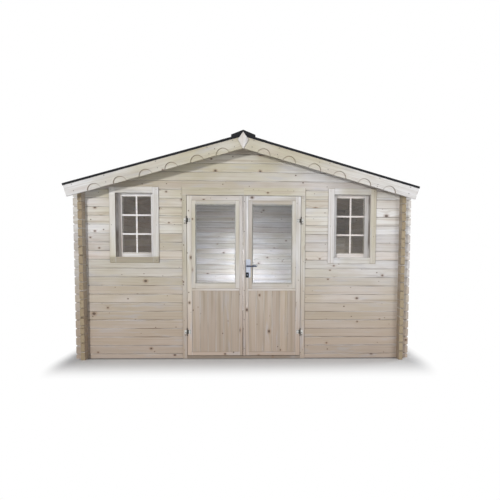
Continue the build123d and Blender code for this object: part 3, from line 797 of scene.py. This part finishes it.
# Screws in the hinge plates
HINGE_FACE = -1.531
LEAF_PLATES, LEAF_COLUMNS, LEAF_ROWS = (0.314, 1.603), (0.619, 0.637), (-0.012, 0.012)
FRAME_PLATES, FRAME_COLUMN, FRAME_ROWS = (0.2908, 1.5798), 0.674, (-0.013, 0.013)
screw = screw_head(radius=0.0049, height=0.0012)
for side, sign in SIDES:
    leaf_points = [(sign * x, z + up) for z in LEAF_PLATES for x in LEAF_COLUMNS for up in LEAF_ROWS]
    leaf_places = fronts(leaf_points, HINGE_FACE)
    repeat(screw, f"{side}_leaf_hinge_screws", leaf_places, f"{side}_door", dark_steel)
frame_points = [(sign * FRAME_COLUMN, z + up) for _, sign in SIDES for z in FRAME_PLATES
                for up in FRAME_ROWS]
repeat(screw, "frame_hinge_screws", fronts(frame_points, HINGE_FACE), "shed", dark_steel)

# Screws in the meeting strip
STRIP_SCREWS = evenly(first=0.12, pitch=0.339, count=6)
strip_low, strip_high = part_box("meeting_strip")
strip_middle = (strip_low.x + strip_high.x) / 2
strip_places = fronts([(strip_middle, z) for z in STRIP_SCREWS], strip_low.y)
repeat(screw, "meeting_strip_screws", strip_places, "right_door", galvanised)

# Screws in the bargeboards, in pairs down the slope
BARGE_SCREWS_DOWN = (0.128, 0.414, 0.988, 1.562, 1.920)
BARGE_SCREWS_IN = (0.032, 0.104)
barge_low, barge_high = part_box("bargeboard_front_right")
barge_points = []
for _, sign in SIDES:
    for down in BARGE_SCREWS_DOWN:
        for inward in BARGE_SCREWS_IN:
            x = down * math.cos(ROOF_PITCH) - inward * math.sin(ROOF_PITCH)
            z = barge_high.z - down * math.sin(ROOF_PITCH) - inward * math.cos(ROOF_PITCH)
            barge_points.append((sign * x, z))
barge_fronts = fronts(barge_points, barge_low.y)
repeat(screw, "bargeboard_screws_front", barge_fronts, "shed", galvanised)
barge_backs = backs(barge_points, -barge_low.y)
repeat(screw, "bargeboard_screws_back", barge_backs, "shed", galvanised)

# Nails in the casings
STILE_NAIL_X, STILE_NAILS = 0.688, evenly(first=0.10, pitch=0.345, count=6)
HEAD_NAILS, HEAD_NAIL_Z = (-0.50, -0.17, 0.17, 0.50), 1.950
NAIL_IN, NAIL_UP = 0.025, 0.030
nail = nail_head(radius=0.0030, height=0.0006)
casing_points = [(sign * STILE_NAIL_X, z) for _, sign in SIDES for z in STILE_NAILS]
casing_points += [(x, HEAD_NAIL_Z) for x in HEAD_NAILS]
repeat(nail, "door_casing_nails", fronts(casing_points, casing_face), "shed", dark_steel)
window_points = []
for side, _ in SIDES:
    window_low, window_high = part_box(f"window_casing_{side}")
    for z in (window_low.z + NAIL_UP, (window_low.z + window_high.z) / 2, window_high.z - NAIL_UP):
        window_points += [(window_low.x + NAIL_IN, z), (window_high.x - NAIL_IN, z)]
repeat(nail, "window_casing_nails", fronts(window_points, casing_face), "shed", dark_steel)

# Roses and screws of the handle's plates
LEVER_X, LEVER_Z, LOCK_Z = 0.038, 1.080, 0.979
PLATE_FRONT, PLATE_BACK = -1.532, -1.484
PLATE_SCREWS = [(0.049, 1.1475), (0.049, 0.9565)]
lever_point = [(LEVER_X, LEVER_Z)]
rose = collar(radius=0.0115, height=0.0030)
rose_places = fronts(lever_point, PLATE_FRONT) + backs(lever_point, PLATE_BACK)
repeat(rose, "handle_roses", rose_places, "right_door", satin_chrome)
plate_screw = screw_head(radius=0.0034, height=0.0010)
plate_places = fronts(PLATE_SCREWS, PLATE_FRONT) + backs(PLATE_SCREWS, PLATE_BACK)
repeat(plate_screw, "handle_plate_screws", plate_places, "right_door", satin_chrome)

# Shield and plug of the lock
SHIELD_SIZE, SHIELD_Z, SHIELD_CORNER = (0.038, 0.004, 0.060), 0.977, 0.010
clear_selection()
shield_place = (LEVER_X, PLATE_FRONT - SHIELD_SIZE[1] / 2, SHIELD_Z)
bpy.ops.mesh.primitive_cube_add(size=1.0, location=shield_place)
bpy.context.object.scale = SHIELD_SIZE
shield = settle("lock_escutcheon")
choose("EDGE", lambda start, end: abs(start.y - end.y) > SHIELD_SIZE[1] * 0.75)
bpy.ops.mesh.bevel(offset=SHIELD_CORNER, segments=4)
choose("FACE", lambda centre, normal: normal.y < -0.9)
bpy.ops.mesh.inset(thickness=0.0015, depth=0.0008)
done(shield, "right_door", lock_steel)
plug = key_plug(radius=0.0058, height=0.0012)
plug_places = fronts([(LEVER_X, LOCK_Z)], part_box("lock_cylinder")[0].y)
repeat(plug, "lock_plug", plug_places, "right_door", satin_chrome)

# Glazing beads on the room side of the panes
BEAD_WIDTH, BEAD_ROUND, BEAD_INSET = 0.008, 0.0065, 0.008
DOOR_BEAD_DEPTH, WINDOW_BEAD_DEPTH = 0.011, 0.012
TOUCH = 0.0001


def bead(name, low, high, inner_edge):
    """One quarter-round bead; inner_edge tells its edge towards the room and the middle of the pane."""
    clear_selection()
    middle = [(a + b) / 2 for a, b in zip(low, high)]
    bpy.ops.mesh.primitive_cube_add(size=1.0, location=middle)
    bpy.context.object.scale = [b - a for a, b in zip(low, high)]
    piece = settle(name)
    choose("EDGE", inner_edge)
    bpy.ops.mesh.bevel(offset=BEAD_ROUND, segments=4)
    bpy.ops.object.mode_set(mode="OBJECT")
    return piece


def beads(name, body, pane, depth):
    """Four beads round the room side of a pane, joined into one piece."""
    low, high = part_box(pane)
    west, east = low.x + BEAD_INSET, high.x - BEAD_INSET
    foot, head = low.z + BEAD_INSET, high.z - BEAD_INSET
    front, back = high.y, high.y + depth
    inner_west, inner_east = west + BEAD_WIDTH, east - BEAD_WIDTH
    inner_foot, inner_head = foot + BEAD_WIDTH, head - BEAD_WIDTH

    def runs(axis, level):
        def test(start, end):
            on_back = min(start.y, end.y) > back - TOUCH
            return on_back and max(abs(start[axis] - level), abs(end[axis] - level)) < TOUCH
        return test
    made = [
        bead(name, (west, front, foot), (inner_west, back, head), runs(0, inner_west)),
        bead(name, (inner_east, front, foot), (east, back, head), runs(0, inner_east)),
        bead(name, (inner_west, front, foot), (inner_east, back, inner_foot), runs(2, inner_foot)),
        bead(name, (inner_west, front, inner_head), (inner_east, back, head), runs(2, inner_head)),
    ]
    clear_selection()
    for piece in made:
        piece.select_set(True)
    bpy.context.view_layer.objects.active = made[0]
    bpy.ops.object.join()
    done(bpy.context.object, body, bead_pine)


for side, _ in SIDES:
    beads(f"{side}_door_beads", f"{side}_door", f"{side}_door_glass", DOOR_BEAD_DEPTH)
    beads(f"{side}_window_beads", "shed", f"window_glass_{side}", WINDOW_BEAD_DEPTH)

# Courses of felt, each lapped over the one below, and the clout nails that hold them
FELT_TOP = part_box("roof_felt_right")[1].z
FELT_HALF = 1.737
CAP_EDGE, TOP_LAP, MIDDLE_LAP = 0.137, 0.260, 1.090
SHEET = 0.002
WAVES = 20
CLOUT_RUN = 3.42
CLOUT_ROWS = ((0.240, 2 * SHEET, 20), (1.070, SHEET, 20), (1.985, 0.0, 34))


def slope_place(sign, down, y, lift):
    """Place on the roof, facing away from it: the distance down the slope and above the felt."""
    turn = Matrix.Rotation(sign * ROOF_PITCH, 4, "Y")
    return Matrix.Translation((0.0, 0.0, FELT_TOP)) @ turn @ Matrix.Translation((sign * down, y, lift))


def felt_course(name, sign, lower, lift):
    """A sheet from under the ridge cap down to its lap, with a slightly wavy lower edge."""
    clear_selection()
    middle = (sign * (CAP_EDGE + lower) / 2, 0.0, lift)
    bpy.ops.mesh.primitive_grid_add(x_subdivisions=3, y_subdivisions=3 * WAVES, size=1.0, location=middle)
    bpy.context.object.scale = (lower - CAP_EDGE, 2 * FELT_HALF, 1.0)
    sheet = settle(name)
    for number in range(WAVES):
        y = -FELT_HALF + FELT_HALF * 2 * (number + 0.5) / WAVES
        wave = 0.0022 * math.sin(number * 2.4 + lower * 9.0) - 0.0012 * math.sin(number * 5.1)

        def near(place):
            return abs(place.x - sign * lower) < 0.005 and abs(place.y - y) < FELT_HALF / WAVES
        choose("VERT", near)
        bpy.ops.transform.translate(value=(wave, 0.0, 0.0))
    bpy.ops.object.mode_set(mode="OBJECT")
    thick = sheet.modifiers.new("felt thickness", "SOLIDIFY")
    thick.thickness = SHEET
    thick.offset = 1.0
    bpy.ops.object.modifier_apply(modifier=thick.name)
    sheet.matrix_world = slope_place(sign, 0.0, 0.0, 0.0)
    bpy.ops.object.transform_apply(location=True, rotation=True, scale=True)
    done(sheet, "shed", roof_grit)


clout = nail_head(radius=0.0048, height=0.0009)
clout_places = []
for side, sign in SIDES:
    felt_course(f"felt_middle_course_{side}", sign, MIDDLE_LAP, 0.0)
    felt_course(f"felt_top_course_{side}", sign, TOP_LAP, SHEET)
    for down, lift, count in CLOUT_ROWS:
        for number in range(count):
            y = (number + 0.5) * CLOUT_RUN / count - CLOUT_RUN / 2
            clout_places.append(slope_place(sign, down, y, lift))
repeat(clout, "clout_nails", clout_places, "shed", galvanised)

# The models of the repeated pieces have no place of their own
for model in (screw, nail, rose, plate_screw, plug, clout):
    bpy.data.objects.remove(model)

# Floor, and how far its painted contact shadow and its shading reach from the walls
FLOOR_SIZE = 60.0
FOOTPRINT = (1.90, 1.51)
WALL_FACE = 1.846
CONTACT_REACH = 0.075
SHADOW_REACH = 0.74
SIDE_FALL = 2.8

# Light: the sky that the shed gets, and each lamp's place, target, size, watts, spread and tone
WHITE = (1.0, 1.0, 1.0, 1.0)
SKY = (0.95, 0.97, 1.0, 1.0)
SKY_STRENGTH = 0.17
LAMPS = (
    ("left softbox", (-4.6, -11.0, 2.9), (0.0, -1.5, 1.3), 0.5, 615.0, 180.0, (1.0, 0.995, 0.985)),
    ("right softbox", (4.2, -6.5, 2.6), (1.2, -1.5, 1.3), 2.6, 140.0, 180.0, (0.96, 0.975, 1.0)),
    ("back softbox", (2.5, 11.0, 5.0), (0.0, 1.5, 1.2), 4.0, 380.0, 180.0, (1.0, 1.0, 1.0)),
    ("side softbox", (10.0, 2.2, 4.2), (1.8, 0.0, 1.2), 4.0, 300.0, 180.0, (1.0, 1.0, 1.0)),
    ("inside lamp", (-0.14, -0.50, 0.50), (-0.14, 1.5, 0.70), 0.6, 17.5, 86.0, (0.89, 0.92, 1.0)),
)


def white_ground():
    """Floor that takes shadow near the shed, has a painted contact shadow at the walls' foot and is plain
    white further off.
    """
    clear_selection()
    bpy.ops.mesh.primitive_plane_add(size=FLOOR_SIZE, location=(0.0, 0.0, 0.0))
    ground = bpy.context.object
    ground.name = "ground"
    finish = Finish("white ground")
    x, y, z = finish.place()
    mottle = finish.noise(finish.point(x, y, z), scale=2.0, detail=1.0)
    beside = (abs(x) - FOOTPRINT[0]).most(0.0) * SIDE_FALL
    before = (abs(y) - FOOTPRINT[1]).most(0.0)
    away = (beside * beside + before * before).root()
    # Painted contact shadow along the walls' foot
    past_wall = (abs(x) - WALL_FACE).most(0.0)
    contact_painted_shadow = (past_wall * past_wall + before * before).root().step(CONTACT_REACH, 0.0) * 0.95
    pale = finish.blend(mottle * 0.2, colour(236, 237, 239), colour(230, 231, 233))
    finish.set(Base_Color=finish.blend(contact_painted_shadow, pale, colour(84, 86, 90)), Roughness=0.9)
    glow = finish.node("ShaderNodeEmission", values={"Color": WHITE, "Strength": 1.0})
    finish.mix_in(finish.seen_rays() * away.step(CONTACT_REACH, SHADOW_REACH), glow)
    ground.data.materials.append(finish.material)


def white_world():
    """White background for what is seen, and a dim sky for what lights the shed."""
    world = bpy.data.worlds.new("white studio")
    bpy.context.scene.world = world
    sky = Recipe(world, "ShaderNodeOutputWorld")
    lighting = sky.node("ShaderNodeBackground", values={"Color": SKY, "Strength": SKY_STRENGTH})
    shown = sky.node("ShaderNodeBackground", values={"Color": WHITE, "Strength": 1.0})
    sky.plug(sky.surface, sky.node("ShaderNodeMixShader", values=(sky.seen_rays(), lighting, shown)))


def soft_lamp(name, place, target, size, watts, spread, tone):
    """A square area lamp that no camera, mirror or glass sees."""
    data = bpy.data.lights.new(name, "AREA")
    data.shape = "SQUARE"
    data.size = size
    data.energy = watts
    data.color = tone
    data.spread = math.radians(spread)
    lamp = bpy.data.objects.new(name, data)
    bpy.context.scene.collection.objects.link(lamp)
    turn = (Vector(target) - Vector(place)).to_track_quat("-Z", "Y").to_matrix().to_4x4()
    lamp.matrix_world = Matrix.Translation(place) @ turn
    lamp.visible_camera = False
    lamp.visible_glossy = False
    lamp.visible_transmission = False


white_ground()
white_world()
for facts in LAMPS:
    soft_lamp(*facts)

# Camera
forward = Vector((math.sin(YAW) * math.cos(PITCH), math.cos(YAW) * math.cos(PITCH), -math.sin(PITCH)))
right = Vector((math.cos(YAW), -math.sin(YAW), 0.0))
up = right.cross(forward)
across_axis = right * math.cos(ROLL) + up * math.sin(ROLL)
up_axis = up * math.cos(ROLL) - right * math.sin(ROLL)
camera_data = bpy.data.cameras.new("camera")
camera_data.sensor_width = SENSOR
camera_data.lens = LENS
camera_data.shift_x, camera_data.shift_y = SHIFT
camera_data.clip_end = FAR_CLIP
camera = bpy.data.objects.new("camera", camera_data)
bpy.context.scene.collection.objects.link(camera)
turn_matrix = Matrix((across_axis, up_axis, -forward)).transposed().to_4x4()
camera.matrix_world = Matrix.Translation(EYE) @ turn_matrix
bpy.context.scene.camera = camera
bpy.context.scene.view_settings.view_transform = "Standard"
